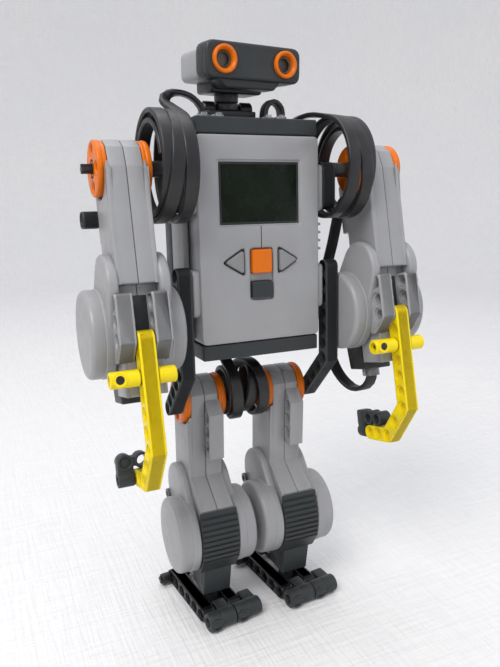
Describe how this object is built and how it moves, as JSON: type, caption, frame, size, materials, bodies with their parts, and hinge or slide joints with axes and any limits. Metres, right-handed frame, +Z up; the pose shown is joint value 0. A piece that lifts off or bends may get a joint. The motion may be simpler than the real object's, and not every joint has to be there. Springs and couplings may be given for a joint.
{
  "type": "humanoid robot kit",
  "caption": "Standing humanoid robot built from a plastic construction kit: control brick torso, motor arms and legs, beam hands and feet, and a distance sensor head on a swivel post.",
  "frame": {"origin": "on the floor under the middle of the robot: centre of the underside of its bounding box, free cables not counted", "axes": "+Z up, the robot faces -Y, its right side is -X"},
  "size_m": [0.175, 0.096, 0.2968],
  "materials": {
    "battery": "battery block",
    "black_plastic": "black moulded ABS",
    "board": "green circuit board",
    "cable": "black flexible sheath",
    "dark_plastic": "dark grey satin ABS",
    "light_plastic": "light grey satin ABS",
    "orange": "orange ABS",
    "screen": "dark display window",
    "yellow": "glossy yellow ABS"
  },
  "bodies": {
    "torso": {"battery_pack": "battery", "brick_front_shell": "light_plastic", "brick_rear_shell": "light_plastic", "circuit_board": "board", "display_panel": "screen", "hip_beam_left": "dark_plastic", "hip_beam_right": "dark_plastic", "hip_cable": "cable", "hip_hub_left": "orange", "hip_hub_right": "orange", "neck_base": "dark_plastic", "neck_cable": "cable", "shoulder_axle_left": "dark_plastic", "shoulder_axle_right": "dark_plastic", "shoulder_beam_left": "dark_plastic", "shoulder_beam_right": "dark_plastic", "shoulder_cable_left": "cable", "shoulder_cable_right": "cable", "shoulder_hub_left": "orange", "shoulder_hub_right": "orange"},
    "head": {"neck_post": "dark_plastic", "sensor_front_shell": "light_plastic", "sensor_rear_shell": "light_plastic", "eye_ring_right": "orange", "eye_ring_left": "orange"},
    "arm_right": {"arm_right_grip_cover": "dark_plastic", "arm_right_left_half": "light_plastic", "arm_right_right_half": "light_plastic", "cross_bar_right": "yellow", "fingertip_connector_right": "dark_plastic", "forearm_beam_right": "yellow", "shoulder_connector_right": "dark_plastic"},
    "leg_right": {"foot_beam_first_right": "black_plastic", "foot_beam_second_right": "black_plastic", "heel_axle_right": "dark_plastic", "leg_cable_right": "cable", "leg_right_grip_cover": "dark_plastic", "leg_right_left_half": "light_plastic", "leg_right_right_half": "light_plastic", "toe_first_right": "dark_plastic", "toe_second_right": "dark_plastic"},
    "arm_left": {"arm_cable_left": "cable", "arm_left_grip_cover": "dark_plastic", "arm_left_left_half": "light_plastic", "arm_left_right_half": "light_plastic", "cross_bar_left": "yellow", "fingertip_connector_left": "dark_plastic", "forearm_beam_left": "yellow"},
    "leg_left": {"foot_beam_first_left": "black_plastic", "foot_beam_second_left": "black_plastic", "heel_axle_left": "dark_plastic", "leg_left_grip_cover": "dark_plastic", "leg_left_left_half": "light_plastic", "leg_left_right_half": "light_plastic", "toe_first_left": "dark_plastic", "toe_second_left": "dark_plastic"},
    "enter_key": {"enter_button": "orange"},
    "back_key": {"back_button": "dark_plastic"},
    "left_key": {"left_button": "light_plastic"},
    "right_key": {"right_button": "light_plastic"}
  },
  "joints": [
    {"name": "shoulder_right", "type": "hinge", "parent": "torso", "child": "arm_right", "pos_m": [-0.066, 0.00406, 0.23898], "axis": [1, 0, 0], "range_deg": [-120, 40]},
    {"name": "shoulder_left", "type": "hinge", "parent": "torso", "child": "arm_left", "pos_m": [0.066, 0.00406, 0.23898], "axis": [1, 0, 0], "range_deg": [-120, 40]},
    {"name": "hip_right", "type": "hinge", "parent": "torso", "child": "leg_right", "pos_m": [-0.024, 0.02491, 0.1191], "axis": [1, 0, 0], "range_deg": [-40, 40]},
    {"name": "hip_left", "type": "hinge", "parent": "torso", "child": "leg_left", "pos_m": [0.024, 0.02491, 0.1191], "axis": [1, 0, 0], "range_deg": [-40, 40]},
    {"name": "head_turn", "type": "hinge", "parent": "torso", "child": "head", "pos_m": [-0.004, 0.02906, 0.268], "axis": [0, 0, 1], "range_deg": [-60, 60]},
    {"name": "enter_press", "type": "slide", "parent": "torso", "child": "enter_key", "axis": [0, 0.9984, -0.0565], "range_m": [0, 0.0008], "stiffness_N_per_m": 600, "springref_m": -0.0005},
    {"name": "back_press", "type": "slide", "parent": "torso", "child": "back_key", "axis": [0, 0.9984, -0.0565], "range_m": [0, 0.0008], "stiffness_N_per_m": 600, "springref_m": -0.0005},
    {"name": "left_press", "type": "slide", "parent": "torso", "child": "left_key", "axis": [0, 0.9984, -0.0565], "range_m": [0, 0.0008], "stiffness_N_per_m": 600, "springref_m": -0.0005},
    {"name": "right_press", "type": "slide", "parent": "torso", "child": "right_key", "axis": [0, 0.9984, -0.0565], "range_m": [0, 0.0008], "stiffness_N_per_m": 600, "springref_m": -0.0005}
  ]
}
